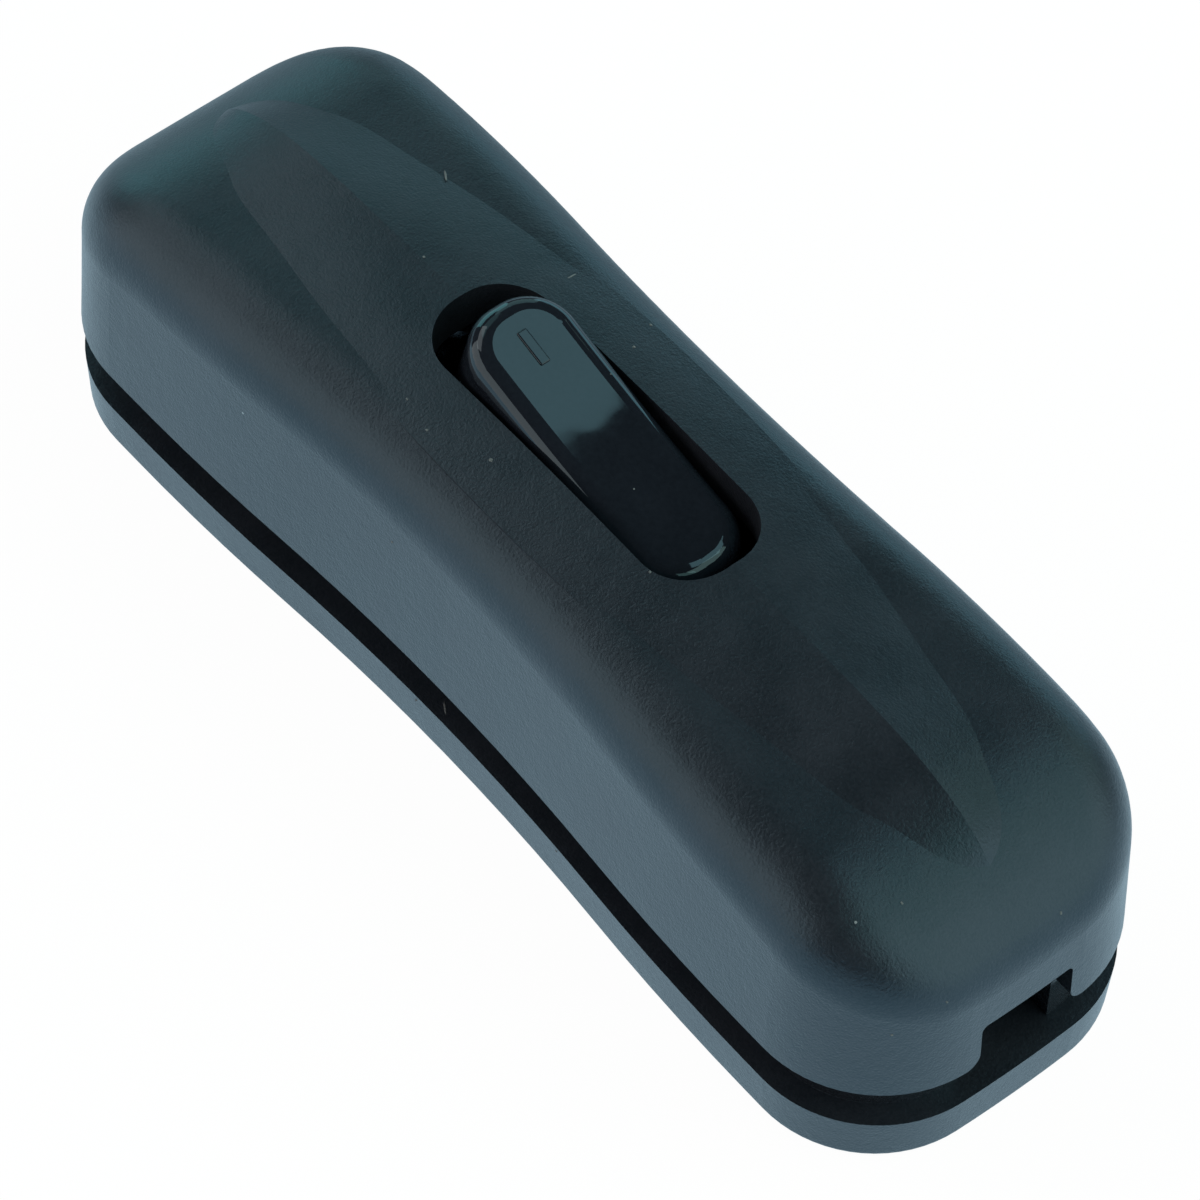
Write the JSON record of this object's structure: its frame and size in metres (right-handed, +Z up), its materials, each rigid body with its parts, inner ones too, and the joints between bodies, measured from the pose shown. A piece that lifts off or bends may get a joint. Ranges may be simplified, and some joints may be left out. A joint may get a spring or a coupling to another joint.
{
  "type": "inline cord switch",
  "caption": "Inline cord switch: a waisted black two-part housing with a raised ridged lens, a rocker in a slot and a cord inlet at each end.",
  "frame": {"origin": "middle of the flat underside, at the bottom of the bounding box", "axes": "+X along the body towards the cord inlet that faces the viewer, +Z up through the rocker"},
  "size_m": [0.0678, 0.0212, 0.0224],
  "materials": {
    "cover_black": "fine moulded grain, matte black",
    "base_black": "fine moulded grain, matte black",
    "rocker_black": "polished black",
    "plunger_white": "natural moulded",
    "spring_steel": "drawn wire",
    "blade_brass": "stamped",
    "contact_silver": "dull silver",
    "strip_brass": "stamped",
    "screw_zinc": "bright zinc",
    "washer_zinc": "bright zinc",
    "clamp_grey": "moulded"
  },
  "bodies": {
    "housing": {"top_cover": "cover_black", "base_shell": "base_black", "fulcrum_strip": "strip_brass", "contact_strip": "strip_brass", "fixed_contact": "contact_silver", "neutral_strip": "strip_brass", "line_in_screw": "screw_zinc", "line_in_washer": "washer_zinc", "line_out_screw": "screw_zinc", "line_out_washer": "washer_zinc", "neutral_in_screw": "screw_zinc", "neutral_in_washer": "washer_zinc", "neutral_out_screw": "screw_zinc", "neutral_out_washer": "washer_zinc", "cord_clamp_far": "clamp_grey", "housing_screw_far": "screw_zinc", "clamp_screw_far_left": "screw_zinc", "clamp_screw_far_right": "screw_zinc", "cord_clamp_near": "clamp_grey", "housing_screw_near": "screw_zinc", "clamp_screw_near_left": "screw_zinc", "clamp_screw_near_right": "screw_zinc"},
    "rocker": {"rocker": "rocker_black", "rocker_spring": "spring_steel"},
    "plunger": {"plunger": "plunger_white"},
    "blade": {"contact_blade": "blade_brass", "moving_contact": "contact_silver"}
  },
  "joints": [
    {"name": "rocker_pivot", "type": "hinge", "parent": "housing", "child": "rocker", "pos_m": [0, 0, 0.0166], "axis": [0, -1, 0], "range_deg": [0, 27]},
    {"name": "blade_pivot", "type": "hinge", "parent": "housing", "child": "blade", "pos_m": [0, 0, 0.0079], "axis": [0, 1, 0], "range_deg": [0, 18.01]},
    {"name": "plunger_slide", "type": "slide", "parent": "rocker", "child": "plunger", "axis": [0.2334, 0, 0.9724], "range_m": [0, 0.0006], "stiffness_N_per_m": 500, "springref_m": -0.0005, "deforming": ["rocker_spring"]}
  ],
  "couplings": [
    {"joint": "blade_pivot", "follows": "rocker_pivot", "ratio": 0.66667}
  ]
}
